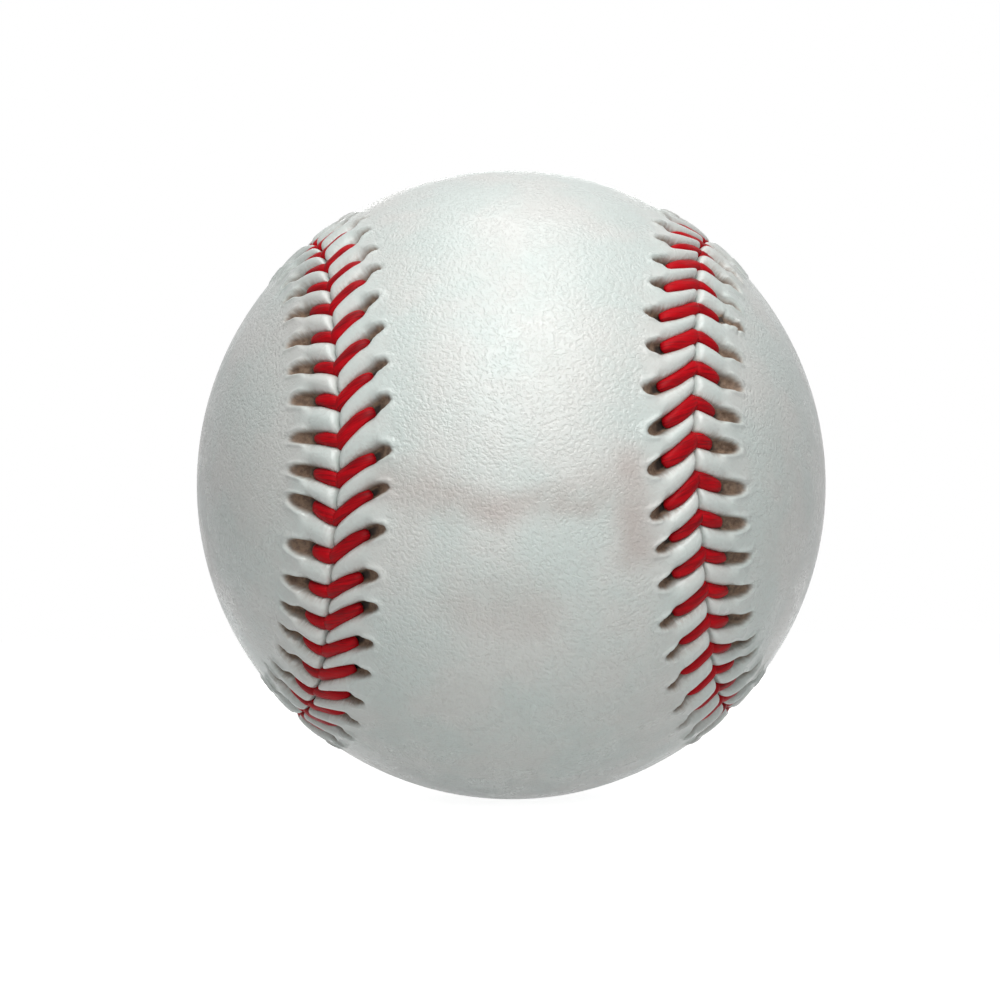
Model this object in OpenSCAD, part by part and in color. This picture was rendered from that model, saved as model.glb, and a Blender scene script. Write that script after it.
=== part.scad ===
// Baseball built from the centre outwards: cork pill, rubber shells, four yarn windings,
// cement coat, two figure-eight leather panels and the raised herringbone seam.
// Millimetres. The origin is the ball's centre, the near panel's waist faces -Y, +Z is up.

/* [Pill] */
// Diameter of the cork and rubber core
core_d = 20.6; // [19:0.1:22]
// Thickness of the black rubber half shells
inner_shell_t = 3.95; // [3.4:0.05:4.4]
// Thickness of the ring gasket between the rims of the half shells
gasket_t = 0.8; // [0.5:0.05:1.5]
// Thickness of the red rubber layer moulded over the half shells
outer_shell_t = 2.4; // [1.8:0.05:3]

/* [Windings] */
// Thickness of the first winding, four-ply grey wool
grey_wool_t = 14.4; // [13:0.1:15]
// Thickness of the second winding, three-ply white wool
white_wool_t = 1.75; // [1.4:0.05:2.1]
// Thickness of the third winding, three-ply grey wool
outer_wool_t = 2.2; // [1.8:0.05:2.6]
// Thickness of the fine finishing yarn
finishing_t = 0.5; // [0.3:0.05:0.8]
// Thickness of the cement brushed over the finished winding
cement_t = 0.1; // [0.05:0.01:0.2]
// Clearance left between one layer and the next
layer_gap = 0.03; // [0.02:0.01:0.06]

/* [Cover] */
// Thickness of the leather
leather_t = 1.25; // [1.15:0.05:1.5]
// Width of a panel across its waist, measured over the surface
waist_w = 34.6; // [33:0.1:36]
// Swing of the seam to either side of an even turn, in degrees
seam_swing = 21.7; // [20:0.1:24]
// Gap between the edges of the two panels
seam_gap = 0.3; // [0.2:0.05:0.4]
// Height of the puckered rim above the rest of the cover
rim_rise = 0.4; // [0.2:0.05:0.5]
// Width of the puckered rim along the seam
rim_w = 4.3; // [4:0.1:4.6]

/* [Stitching] */
// Number of double stitches round the seam
stitches = 108; // [96:2:116]
// Diameter of the waxed thread
thread_d = 1.3; // [1.1:0.05:1.4]
// Clearance round the thread in its groove, notch and hole
thread_gap = 0.1; // [0.05:0.01:0.12]
// Rise of a leg's middle above its ends, at the thread's centre line
arch_rise = 0.55; // [0.5:0.01:0.6]
// Distance from the seam to where a leg dives into its hole
hole_reach = 3.4; // [3.2:0.1:3.8]
// Length of a punched hole, from end to end
hole_len = 3; // [2.6:0.1:3.2]
// Width of the leather strap that each leg pulls down between the seam and its hole
strap_w = 1.6; // [1.4:0.05:1.8]
// Distance by which the holes trail the seam entry, on average
hole_lag = 1.85; // [1.5:0.05:2.2]
// Swing of that distance between the waists and the lobes
hole_lag_swing = 1.2; // [0.8:0.05:1.4]

/* [Hidden] */

ball_fn = 96;
detail_fn = 40;
full_turn = 360;
seam_turn = 2 * full_turn;
edge_per_stitch = 2;
table_per_stitch = 8;
cap_columns = 6;
cap_share = 1.08;
overrun = 0.5;

// Radii from the centre outwards
core_r = core_d / 2;
inner_shell_in = core_r + layer_gap;
inner_shell_r = inner_shell_in + inner_shell_t;
outer_shell_in = inner_shell_r + layer_gap;
outer_shell_r = outer_shell_in + outer_shell_t;
grey_wool_in = outer_shell_r + layer_gap;
grey_wool_r = grey_wool_in + grey_wool_t;
white_wool_in = grey_wool_r + layer_gap;
white_wool_r = white_wool_in + white_wool_t;
outer_wool_in = white_wool_r + layer_gap;
outer_wool_r = outer_wool_in + outer_wool_t;
finishing_in = outer_wool_r + layer_gap;
finishing_r = finishing_in + finishing_t;
cement_in = finishing_r + layer_gap;
cement_r = cement_in + cement_t;
cover_in = cement_r + layer_gap;
ball_r = cover_in + leather_t;

// Angle that a length takes on the surface, in degrees
function surface_angle(length) = length / ball_r * 180 / PI;
waist_half = surface_angle(waist_w / 2);

// Direction of the seam from the centre, for a travel angle of 0 to seam_turn
function seam_dir(t) =
    let (tilt = 90 - (90 - waist_half) * cos(t), turn = t / 2 + seam_swing * sin(2 * t))
    [sin(tilt) * cos(turn), -cos(tilt), sin(tilt) * sin(turn)];

function unit(v) = v / norm(v);
function seam_travel(t) = unit(seam_dir(t + 0.1) - seam_dir(t - 0.1));
function seam_left(t) = cross(seam_dir(t), seam_travel(t));

// Direction of a place beside the seam: reach is the distance to the left of travel
function beside(t, reach) =
    let (a = surface_angle(reach))
    cos(a) * seam_dir(t) + sin(a) * seam_left(t);

// Table from the length along the seam to the travel angle
table_steps = table_per_stitch * stitches;
table_angle = seam_turn / table_steps;
function seam_chord(i) = ball_r * norm(seam_dir((i + 1) * table_angle) - seam_dir(i * table_angle));
seam_sums = [for (i = 0, s = 0; i <= table_steps; s = s + seam_chord(i), i = i + 1) s];
seam_table = [for (i = [0 : table_steps]) [seam_sums[i], i * table_angle]];
seam_length = seam_sums[table_steps];
stitch_pitch = seam_length / stitches;
function travel_at(s) =
    let (turns = floor(s / seam_length))
    lookup(s - turns * seam_length, seam_table) + turns * seam_turn;

// Sizes of the stitching, from the thread that it carries
thread_r = thread_d / 2;
groove_w = thread_d + 2 * thread_gap;
entry_reach = groove_w / 2 + thread_gap / 2;

// How far the holes of one side trail the seam: side is 1 on the near panel, -1 on the other
function lag_at(t, side) = hole_lag + side * hole_lag_swing * sin(t);

// Direction of a place on one leg of stitch k, at a reach from the seam
function leg_dir(k, side, reach) =
    let (s = k * stitch_pitch, lag = lag_at(travel_at(s), side))
    beside(travel_at(s - lag * reach / hole_reach), side * reach);
function half_span(k, side) =
    acos(leg_dir(k, side, entry_reach) * leg_dir(k, side, hole_reach)) / 2;
function arch_radius(half_chord) =
    (half_chord * half_chord + arch_rise * arch_rise) / (2 * arch_rise);

// Places its children at a leg's middle, with X outwards and Y along the leg
module at_leg(k, side) {
    from = leg_dir(k, side, entry_reach);
    to = leg_dir(k, side, hole_reach);
    out = unit(from + to);
    along = unit(to - from);
    normal = cross(out, along);
    multmatrix([
        [out.x, along.x, normal.x, 0],
        [out.y, along.y, normal.y, 0],
        [out.z, along.z, normal.z, 0],
        [0, 0, 0, 1]
    ]) children();
}

// One leg of a stitch: a bar that arches out of the seam and dives into its hole
module stitch_leg(k, side) {
    half_chord = ball_r * sin(half_span(k, side));
    arch_r = arch_radius(half_chord);
    sweep = 2 * asin(half_chord / arch_r);
    at_leg(k, side)
        translate([ball_r - arch_r, 0, 0])
            rotate([0, 0, -sweep / 2])
                rotate_extrude(angle = sweep, $fn = ball_fn)
                    translate([arch_r, 0])
                        circle(r = thread_r, $fn = detail_fn);
}

// Cut in the leather for one leg: a notch at the seam, a groove over the strap, then the hole
module stitch_cut(k, side) {
    half_chord = ball_r * sin(half_span(k, side));
    low_r = arch_radius(half_chord) - thread_r;
    half_strap = strap_w / 2;
    strap_drop = low_r - sqrt(low_r * low_r - half_strap * half_strap);
    strap_r = ball_r - thread_r - strap_drop - thread_gap;
    under_r = cover_in - overrun;
    top_r = ball_r + rim_rise + overrun;
    notch_start = -half_chord - entry_reach - overrun;
    hole_end = half_strap + hole_len;
    at_leg(k, side)
        linear_extrude(groove_w, center = true)
            polygon([
                [top_r, notch_start], [under_r, notch_start], [under_r, -half_strap],
                [strap_r, -half_strap], [strap_r, half_strap], [under_r, half_strap],
                [under_r, hole_end], [top_r, hole_end]
            ]);
}

// Directions across the near panel, from its right edge to its left edge
edge_rows = edge_per_stitch * stitches / 2;
function edge_dir(i, reach) = beside(i / edge_rows * full_turn - full_turn / 2, reach);
function mirrored(v) = [-v.x, v.y, v.z];
function across_dir(from, to, share) =
    let (a = acos(from * to))
    (sin((1 - share) * a) * from + sin(share * a) * to) / sin(a);
function edge_row(i, reach) =
    let (right = edge_dir(i, reach))
    [for (j = [0 : cap_columns]) across_dir(right, mirrored(right), j / cap_columns)];

// Solid cone from the centre through a panel's outline
module panel_cone(reach) {
    row = cap_columns + 1;
    last = edge_rows - 1;
    cap_r = cap_share * (ball_r + rim_rise);
    points = concat(
        [[0, 0, 0], cap_r * edge_dir(0, reach), cap_r * edge_dir(edge_rows, reach)],
        [for (i = [1 : last]) for (dir = edge_row(i, reach)) cap_r * dir]
    );
    function at(i, j) = 3 + (i - 1) * row + j;
    faces = concat(
        [for (i = [1 : last - 1]) for (j = [0 : cap_columns - 1])
            each [[at(i, j), at(i + 1, j + 1), at(i + 1, j)], [at(i, j), at(i, j + 1), at(i + 1, j + 1)]]],
        [for (j = [0 : cap_columns - 1])
            each [[1, at(1, j + 1), at(1, j)], [2, at(last, j), at(last, j + 1)]]],
        [for (i = [1 : last - 1])
            each [[0, at(i, 0), at(i + 1, 0)], [0, at(i + 1, cap_columns), at(i, cap_columns)]]],
        [[0, 1, at(1, 0)], [0, at(1, cap_columns), 1], [0, at(last, 0), 2], [0, 2, at(last, cap_columns)]]
    );
    polyhedron(points = points, faces = faces);
}

// Leaves its children at the near panel, or turns them into the other panel's place
module on_side(side) {
    if (side > 0) {
        children();
    } else {
        rotate([0, -90, 0])
            mirror([0, 1, 0])
                children();
    }
}

module ball_layer(r_in, r_out) {
    difference() {
        sphere(r = r_out, $fn = ball_fn);
        sphere(r = r_in, $fn = ball_fn);
    }
}

// Layer of the cover, with its sphere's poles and meridian outside the near panel
module cover_layer(r_in, r_out) {
    rotate(a = 120, v = [1, 1, 1]) ball_layer(r_in, r_out);
}

// A leather panel with its raised rim, less the cuts for its stitches
module cover_panel(side) {
    difference() {
        on_side(side)
            difference() {
                intersection() {
                    cover_layer(cover_in, ball_r + rim_rise);
                    panel_cone(seam_gap / 2);
                }
                intersection() {
                    cover_layer(ball_r, ball_r + rim_rise + overrun);
                    panel_cone(rim_w);
                }
            }
        for (k = [0 : stitches - 1]) stitch_cut(k, side);
    }
}

module half_shell() {
    difference() {
        ball_layer(inner_shell_in, inner_shell_r);
        translate([0, 0, gasket_t / 2 + layer_gap - ball_r])
            cube([2 * ball_r, 2 * ball_r, 2 * ball_r], center = true);
    }
}

module cork_core() {
    color("peru") sphere(r = core_r, $fn = ball_fn);
}

module upper_inner_shell() {
    color("dimgray") half_shell();
}

module lower_inner_shell() {
    color("dimgray") mirror([0, 0, 1]) half_shell();
}

module shell_gasket() {
    color("firebrick")
        intersection() {
            ball_layer(inner_shell_in, inner_shell_r);
            cube([2 * ball_r, 2 * ball_r, gasket_t], center = true);
        }
}

module red_rubber_layer() {
    color("indianred") ball_layer(outer_shell_in, outer_shell_r);
}

module grey_wool_winding() {
    color("gray") ball_layer(grey_wool_in, grey_wool_r);
}

module white_wool_winding() {
    color("whitesmoke") ball_layer(white_wool_in, white_wool_r);
}

module outer_wool_winding() {
    color("darkgray") ball_layer(outer_wool_in, outer_wool_r);
}

module finishing_winding() {
    color("ivory") ball_layer(finishing_in, finishing_r);
}

module cement_coat() {
    color("wheat") ball_layer(cement_in, cement_r);
}

module front_cover_panel() {
    color([0.87, 0.88, 0.85]) cover_panel(1);
}

module side_cover_panel() {
    color([0.84, 0.86, 0.83]) cover_panel(-1);
}

module front_panel_stitches() {
    color("crimson") for (k = [0 : stitches - 1]) stitch_leg(k, 1);
}

module side_panel_stitches() {
    color("firebrick") for (k = [0 : stitches - 1]) stitch_leg(k, -1);
}

cork_core();
upper_inner_shell();
lower_inner_shell();
shell_gasket();
red_rubber_layer();
grey_wool_winding();
white_wool_winding();
outer_wool_winding();
finishing_winding();
cement_coat();
front_cover_panel();
side_cover_panel();
front_panel_stitches();
side_panel_stitches();
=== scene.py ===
"""Dresses the baseball: two stitched leather panels, their red thread, and the layers inside them."""

import logging
import math
from dataclasses import dataclass, field
from enum import Enum

import bpy
import numpy as np
from mathutils import Matrix, Vector


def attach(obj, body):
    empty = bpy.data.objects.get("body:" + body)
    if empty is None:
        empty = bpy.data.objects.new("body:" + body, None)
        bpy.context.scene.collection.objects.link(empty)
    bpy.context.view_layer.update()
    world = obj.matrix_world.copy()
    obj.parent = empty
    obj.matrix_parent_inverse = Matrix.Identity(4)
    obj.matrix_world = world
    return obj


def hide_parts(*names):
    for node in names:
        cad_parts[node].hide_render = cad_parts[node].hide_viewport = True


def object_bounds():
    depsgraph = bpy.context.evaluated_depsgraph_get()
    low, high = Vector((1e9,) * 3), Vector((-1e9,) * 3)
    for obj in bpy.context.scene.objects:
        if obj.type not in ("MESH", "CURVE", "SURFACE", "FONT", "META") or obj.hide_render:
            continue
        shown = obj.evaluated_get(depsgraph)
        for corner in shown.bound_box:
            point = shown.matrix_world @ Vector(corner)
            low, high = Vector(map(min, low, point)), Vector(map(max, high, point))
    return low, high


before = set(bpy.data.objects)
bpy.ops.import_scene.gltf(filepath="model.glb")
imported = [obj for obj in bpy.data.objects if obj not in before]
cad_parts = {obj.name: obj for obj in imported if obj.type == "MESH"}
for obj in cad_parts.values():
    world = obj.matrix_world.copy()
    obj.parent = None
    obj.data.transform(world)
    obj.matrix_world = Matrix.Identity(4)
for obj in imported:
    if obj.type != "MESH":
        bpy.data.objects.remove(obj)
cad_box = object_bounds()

LOG = logging.getLogger("baseball")
MM = 0.001
TAU = 2 * math.pi

Array = np.ndarray
Piece = bpy.types.Object
Node = bpy.types.Node
Socket = bpy.types.NodeSocket
Outputs = bpy.types.bpy_prop_collection
Group = bpy.types.NodeTree
Material = bpy.types.Material
Colour = tuple[float, float, float, float]
Triple = tuple[float, float, float]


class Side(Enum):
    """The two cover panels, which are one shape in two places."""

    FRONT = "front"
    SIDE = "side"


class Layer(Enum):
    """Names of the attributes that a piece's points carry for its finish."""

    SEAM = "seam_place"
    LAY = "thread_lay"
    # Worn cut leather in the holes, with painted shade deep in them.
    BARE = "bare_cut"


class Quirk(Enum):
    """What differs from stitch to stitch, with its spread in millimetres; the width's is a share."""

    DRIFT = 0.26
    REACH = 0.2
    WIDTH = 0.08
    HEIGHT = 0.045
    PLUMP = 0.07


@dataclass(frozen=True)
class Span:
    """A stretch over which something comes or goes along a smooth step."""

    low: float
    high: float

    def rise(self, value: Array) -> Array:
        """0 up to the stretch and 1 past it."""
        share = np.clip((value - self.low) / (self.high - self.low), 0, 1)
        return share * share * (3 - 2 * share)

    def fall(self, value: Array) -> Array:
        """1 up to the stretch and 0 past it."""
        return 1 - self.rise(value)


def srgb(*levels: int) -> Colour:
    """Turns red, green and blue from 0 to 255 into a linear colour with an alpha of 1."""
    shares = [level / 255 for level in levels]
    linear = [share / 12.92 if share <= 0.04045 else ((share + 0.055) / 1.055) ** 2.4 for share in shares]
    return (*linear, 1.0)


def swell(share: Array, fullness: float) -> Array:
    """Profile of a stuffed roll: steep at 0 and level at 1; fullness 2 is a quarter ellipse."""
    rest = 1 - np.clip(share, 0, 1)
    return np.sqrt(np.clip(1 - rest ** fullness, 0, 1))


def unit(vectors: Array) -> Array:
    """Vectors at length 1, along the last axis."""
    return vectors / np.linalg.norm(vectors, axis=-1, keepdims=True)


@dataclass
class SeamCurve:
    """The closed curve where the two panels meet, drawn on the ball.

    Places beside it are given by s, the length along it from the near panel's right-hand waist,
    and v, the distance to the left of travel, which is into the near panel. Both are millimetres.
    """

    ball_r: float
    waist_w: float = 34.6
    swing_deg: float = 21.7
    stitches: int = 108
    steps: int = 8640
    turns: Array = field(init=False, repr=False)
    lengths: Array = field(init=False, repr=False)

    def __post_init__(self) -> None:
        """Measures the curve, so that a length can be turned into a travel angle."""
        self.turns = np.linspace(-TAU, 3 * TAU, 2 * self.steps + 1)
        chords = np.linalg.norm(np.diff(self.direction(self.turns), axis=0), axis=1)
        sums = np.concatenate([[0], np.cumsum(chords)]) * self.ball_r
        self.lengths = sums - np.interp(0, self.turns, sums)

    @property
    def length(self) -> float:
        """Length of the whole seam."""
        return float(np.interp(2 * TAU, self.turns, self.lengths))

    @property
    def pitch(self) -> float:
        """Distance from one stitch to the next."""
        return self.length / self.stitches

    def direction(self, turn: Array) -> Array:
        """Unit vectors from the ball's centre to the seam; two full turns of travel close it."""
        waist_half = self.waist_w / 2 / self.ball_r
        tilt = math.pi / 2 - (math.pi / 2 - waist_half) * np.cos(turn)
        around = turn / 2 + math.radians(self.swing_deg) * np.sin(2 * turn)
        return np.stack([np.sin(tilt) * np.cos(around), -np.cos(tilt), np.sin(tilt) * np.sin(around)], -1)

    def travel_at(self, s: Array) -> Array:
        """Travel angle at a length along the seam."""
        return np.interp(s, self.lengths, self.turns)

    def place(self, s: Array, v: Array) -> Array:
        """Unit vectors from the ball's centre to places beside the seam.

        Args:
            s: Length along the seam.
            v: Distance to the left of it.

        Returns:
            One vector for each place.
        """
        nudge = 1e-4
        turn = self.travel_at(s)
        here = self.direction(turn)
        travel = unit(self.direction(turn + nudge) - self.direction(turn - nudge))
        left = unit(np.cross(here, travel))
        angle = (np.asarray(v) / self.ball_r)[..., None]
        return np.cos(angle) * here + np.sin(angle) * left


@dataclass(frozen=True)
class Habit:
    """How the legs of one panel are sewn, in millimetres.

    A hole lies behind its leg's place at the seam by hole_lag, which swings along the seam. The
    thread dives at thread_end, and the hole reaches on to hole_end. The seed sets the unevenness,
    and torn is the number of the stitch whose hole is torn, or -1.
    """

    hole_lag: float
    hole_lag_swing: float
    thread_end: float
    hole_end: float
    hole_half: float
    thread_half: float
    start: float
    start_drop: float
    seed: int
    torn: int = -1

    @property
    def tail(self) -> float:
        """Length of the hole beyond the thread's end."""
        return self.hole_end - self.thread_end


HABITS = {
    Side.FRONT: Habit(hole_lag=2.6, hole_lag_swing=1.75, thread_end=3.15, hole_end=5.4,
                      hole_half=0.54, thread_half=0.72, start=-0.16, start_drop=0.42, seed=11),
    Side.SIDE: Habit(hole_lag=1.2, hole_lag_swing=1.9, thread_end=2.45, hole_end=5.5,
                     hole_half=0.58, thread_half=0.68, start=0.02, start_drop=0.52, seed=23, torn=85),
}


@dataclass
class HandWork:
    """Unevenness of one row of stitches sewn by hand, the same on every run.

    A phase is a place in the row, counted in stitches.
    """

    count: int
    habit: Habit
    drawn: dict[Quirk, Array] = field(init=False, repr=False)

    def __post_init__(self) -> None:
        """Draws each stitch's own values."""
        rng = np.random.default_rng(self.habit.seed)
        self.drawn = {quirk: rng.normal(0, quirk.value, self.count) for quirk in Quirk}

    def nearest(self, phase: Array) -> Array:
        """Number of the stitch nearest to a phase."""
        return np.round(phase).astype(int) % self.count

    def at_leg(self, quirk: Quirk, phase: Array) -> Array:
        """Value of the nearest stitch."""
        return self.drawn[quirk][self.nearest(phase)]

    def at_rib(self, quirk: Quirk, phase: Array) -> Array:
        """Value of the rib that a phase lies on."""
        return self.drawn[quirk][np.floor(phase).astype(int) % self.count]

    def between(self, quirk: Quirk, phase: Array) -> Array:
        """Value that passes smoothly from each stitch to the next."""
        low = np.floor(phase).astype(int)
        share = Span(0, 1).rise(phase - low)
        values = self.drawn[quirk]
        return (1 - share) * values[low % self.count] + share * values[(low + 1) % self.count]

    def is_torn(self, phase: Array) -> Array:
        """1 at the stitch whose hole is torn, 0 at the others."""
        return (self.nearest(phase) == self.habit.torn).astype(float)


@dataclass
class StitchRow:
    """Where the legs of one panel's stitches lie, in the panel's own seam coordinates.

    A leg lies at each whole phase, and v is the distance from the seam.
    """

    seam: SeamCurve
    habit: Habit
    hole_reach: float = 4.7
    bow: float = 0.7
    bow_reach: float = 5.4
    fade_end: float = 12.0
    hands: HandWork = field(init=False)

    def __post_init__(self) -> None:
        """Draws the row's unevenness."""
        self.hands = HandWork(self.seam.stitches, self.habit)

    def bowed(self, v: float | Array) -> float | Array:
        """A reach that grows fast at the seam and slowly at the holes."""
        return v * (1 + self.bow * (1 - v / self.bow_reach))

    def lag_share(self, v: Array) -> Array:
        """Share of a hole's lag: 0 at the seam, 1 at the holes and 0 again on the smooth leather."""
        fade = Span(self.bow_reach, self.fade_end).fall(v)
        return self.bowed(np.minimum(v, self.bow_reach)) / self.bowed(self.hole_reach) * fade

    def along(self, phase: Array, v: Array) -> Array:
        """Length along the seam of a place."""
        entry = phase * self.seam.pitch
        lag = self.habit.hole_lag + self.habit.hole_lag_swing * np.sin(self.seam.travel_at(entry))
        return entry - (lag + self.hands.between(Quirk.DRIFT, phase)) * self.lag_share(v)

    def slant(self, phase: Array, v: Array) -> Array:
        """Cosine of the angle between a leg and the square across the seam."""
        nudge = 0.05
        low = np.maximum(v - nudge, 0)
        run = (self.along(phase, v + nudge) - self.along(phase, low)) / (v + nudge - low)
        return 1 / np.sqrt(1 + run * run)


@dataclass
class Relief:
    """Leather beside the seam: ribs, thread channels and punched holes.

    Heights are millimetres above the ball's plain surface. The spans of the ribs and of the ends
    of the sink, the lips and the rag are reaches from the seam. The edge spans are distances from
    a hole's outline, and the others count from the end of the stitch's own thread.
    """

    row: StitchRow
    edge: float = 0.07
    rib_rise: float = 0.24
    rib_start: Span = Span(-1.0, 1.7)
    rib_end: Span = Span(2.5, 6.3)
    roundness: float = 1.9
    seam_drop: float = 0.7
    seam_round: float = 0.8
    seam_fullness: float = 2.4
    seam_sink: float = 0.12
    seam_sink_end: Span = Span(0, 0.7)
    channel_depth: float = 1.1
    channel_half: float = 0.5
    hole_depth: float = 1.2
    hole_dive: Span = Span(-0.5, 0.3)
    hole_widening: Span = Span(-0.6, 0.8)
    hole_tip_share: float = 0.6
    hole_bank: float = 0.5
    hole_bank_start: Span = Span(0.2, 1.7)
    shelf_depth: float = 0.5
    shelf_start: float = 0.5
    lip_rise: float = 0.3
    lip_w: float = 0.22
    lip_start: Span = Span(0.3, 1.4)
    lip_end: Span = Span(5.6, 6.3)
    torn_fill: float = 0.6
    torn_start: Span = Span(-0.6, 0.4)
    rag_rise: float = 0.17
    rag_rate: float = 2.4
    rag_sway: float = 1.3
    rag_sway_rate: float = 3.9
    rag_skew: float = 6.0
    rag_edge: Span = Span(0.2, 1.0)
    rag_start: Span = Span(-0.9, 0.2)
    rag_end: Span = Span(5.2, 6.2)
    slope_edge: Span = Span(-0.06, 0.2)
    slope_start: Span = Span(-0.8, 0.3)
    deep_edge: Span = Span(-0.36, 0.04)
    deep_start: Span = Span(-0.7, -0.1)
    deep_end: Span = Span(0.5, 1.5)

    def crest(self, phase: Array, v: Array) -> Array:
        """Height of the ribs' crests."""
        plump = self.row.hands.at_rib(Quirk.PLUMP, phase)
        level = (self.rib_rise + plump) * self.rib_start.rise(v) * self.rib_end.fall(v)
        tuck = swell((v - self.edge) / self.seam_round, self.seam_fullness)
        return level * tuck - self.seam_drop * (1 - tuck)

    def past_thread(self, phase: Array, v: Array) -> Array:
        """How far a place lies beyond the end of its own stitch's thread."""
        return v - self.row.hands.at_leg(Quirk.REACH, phase) - self.row.habit.thread_end

    def floor(self, phase: Array, v: Array) -> Array:
        """Height of the channels' and holes' floor; a hole is deepest where the thread dives."""
        past = self.past_thread(phase, v)
        channel = self.channel_depth + self.seam_sink * self.seam_sink_end.fall(v)
        depth = channel + (self.hole_depth - channel) * self.hole_dive.rise(past)
        ramp = Span(self.shelf_start, self.row.habit.tail).rise(past)
        torn = self.row.hands.is_torn(phase) * self.torn_start.rise(past)
        return -(depth + (self.shelf_depth - depth) * ramp) * (1 - self.torn_fill * torn)

    def hole_distance(self, phase: Array, v: Array) -> Array:
        """Distance from the outline of the nearest channel and hole, negative inside it."""
        habit = self.row.habit
        past = self.past_thread(phase, v)
        across = np.abs(phase - np.round(phase)) * self.row.seam.pitch * self.row.slant(phase, v)
        widening = (habit.hole_half - self.channel_half) * self.hole_widening.rise(past)
        half = (self.channel_half + widening) * (1 + self.row.hands.at_leg(Quirk.WIDTH, phase))
        tip = self.hole_tip_share * habit.tail
        end = np.maximum(past - habit.tail + tip, 0) * half / tip
        return np.hypot(across, end) - half

    def flank(self, phase: Array, v: Array) -> Array:
        """Share of the way up from a channel's or hole's edge to the crest beside it."""
        rib_half = self.row.seam.pitch / 2 * self.row.slant(phase, v) - self.channel_half
        bank = self.hole_bank_start.rise(self.past_thread(phase, v))
        return self.hole_distance(phase, v) / (rib_half + (self.hole_bank - rib_half) * bank)

    def rag(self, phase: Array, v: Array) -> Array:
        """Ragged rise and fall of the leather round the torn hole."""
        sway = self.rag_sway * np.sin(self.rag_sway_rate * v)
        wave = np.sin(self.rag_rate * v + sway + self.rag_skew * (phase - np.round(phase)))
        reach = self.rag_start.rise(self.past_thread(phase, v)) * self.rag_end.fall(v)
        near = self.rag_edge.fall(self.hole_distance(phase, v))
        return self.rag_rise * wave * near * reach * self.row.hands.is_torn(phase)

    def height(self, phase: Array, v: Array) -> Array:
        """Height of the leather.

        Args:
            phase: Place in the row, counted in stitches.
            v: Distance from the seam.

        Returns:
            Millimetres above the ball's plain surface.
        """
        gap = self.hole_distance(phase, v)
        rim = self.lip_start.rise(self.past_thread(phase, v)) * self.lip_end.fall(v)
        lip = np.exp(-((gap - self.lip_w) / self.lip_w) ** 2) * rim
        floor = self.floor(phase, v)
        crest = self.crest(phase, v) + self.lip_rise * lip
        shape = swell(self.flank(phase, v), self.roundness)
        return floor + (crest - floor) * shape + self.rag(phase, v)

    def bare(self, phase: Array, v: Array) -> Array:
        """Worn cut leather and painted shade: 0 on the grain, 0.5 on a hole's worn slope, 1 deep in it,
        which is painted dark as shade.
        """
        gap = self.hole_distance(phase, v)
        past = self.past_thread(phase, v)
        slope = self.slope_edge.fall(gap) * self.slope_start.rise(past)
        deep = self.deep_edge.fall(gap) * self.deep_start.rise(past) * self.deep_end.fall(past)
        return (slope + deep) / 2


@dataclass
class MeshParts:
    """Points and faces gathered for one piece, in millimetres."""

    points: list[Array] = field(default_factory=list)
    coords: list[Array] = field(default_factory=list)
    masks: list[Array] = field(default_factory=list)
    faces: list[tuple[int, ...]] = field(default_factory=list)
    count: int = 0

    def add(self, points: Array, coords: Array, mask: Array | float = 0.0) -> Array:
        """Adds points.

        Args:
            points: Places, in rows of three.
            coords: Surface coordinates of the points.
            mask: A value from 0 to 1 for each point, or one for all.

        Returns:
            The indices of the points.
        """
        size = len(points)
        self.points.append(points)
        self.coords.append(coords)
        self.masks.append(np.broadcast_to(mask, size))
        self.count += size
        return np.arange(self.count - size, self.count)

    def fill(self, faces: Array, outward: bool = True) -> None:
        """Adds faces, given as rows of indices; outward=False turns them over."""
        self.faces.extend(map(tuple, (faces if outward else faces[:, ::-1]).tolist()))

    def bands(self, rings: list[Array]) -> None:
        """Joins each ring to the next, which has as many points, with four-sided faces."""
        for near, far in zip(rings, rings[1:]):
            self.fill(np.stack([near, np.roll(near, -1), np.roll(far, -1), far], 1))

    def bridge(self, fine: Array, coarse: Array, outward: bool) -> None:
        """Joins a ring to one with fewer points.

        Args:
            fine: The ring with more points, a whole number of times as many.
            coarse: The other ring, further from the seam.
            outward: True if the faces look away from the ball's centre.
        """
        group = len(fine) // len(coarse)
        half = group // 2
        near = fine.reshape(len(coarse), group).T
        near = [*near, np.roll(near[0], -1)]
        far = (coarse, np.roll(coarse, -1))
        for i in range(group):
            self.fill(np.stack([near[i], near[i + 1], far[i >= half]], 1), outward)
        self.fill(np.stack([near[half], far[1], far[0]], 1), outward)

    def object(self, name: str, coord: Layer, flip: bool, mask: Layer | None = None) -> Piece:
        """Makes the Blender object.

        Args:
            name: The piece's name.
            coord: The attribute that keeps its surface coordinates.
            flip: True to turn the faces over, for a mirrored piece.
            mask: The attribute that keeps its mask, if it has one.

        Returns:
            The object, in metres, linked to the scene.
        """
        points = np.concatenate(self.points) * MM
        faces = [face[::-1] for face in self.faces] if flip else self.faces
        mesh = bpy.data.meshes.new(name)
        mesh.from_pydata(points.tolist(), [], faces)
        places = np.concatenate(self.coords).astype(np.float32).ravel()
        mesh.attributes.new(coord.value, "FLOAT_VECTOR", "POINT").data.foreach_set("vector", places)
        if mask:
            values = np.concatenate(self.masks).astype(np.float32)
            mesh.attributes.new(mask.value, "FLOAT", "POINT").data.foreach_set("value", values)
        mesh.shade_smooth()
        mesh.update()
        return link(name, mesh)


def link(name: str, data: bpy.types.ID) -> Piece:
    """Makes an object from its data and links it to the scene."""
    made = bpy.data.objects.new(name, data)
    bpy.context.scene.collection.objects.link(made)
    return made


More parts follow.
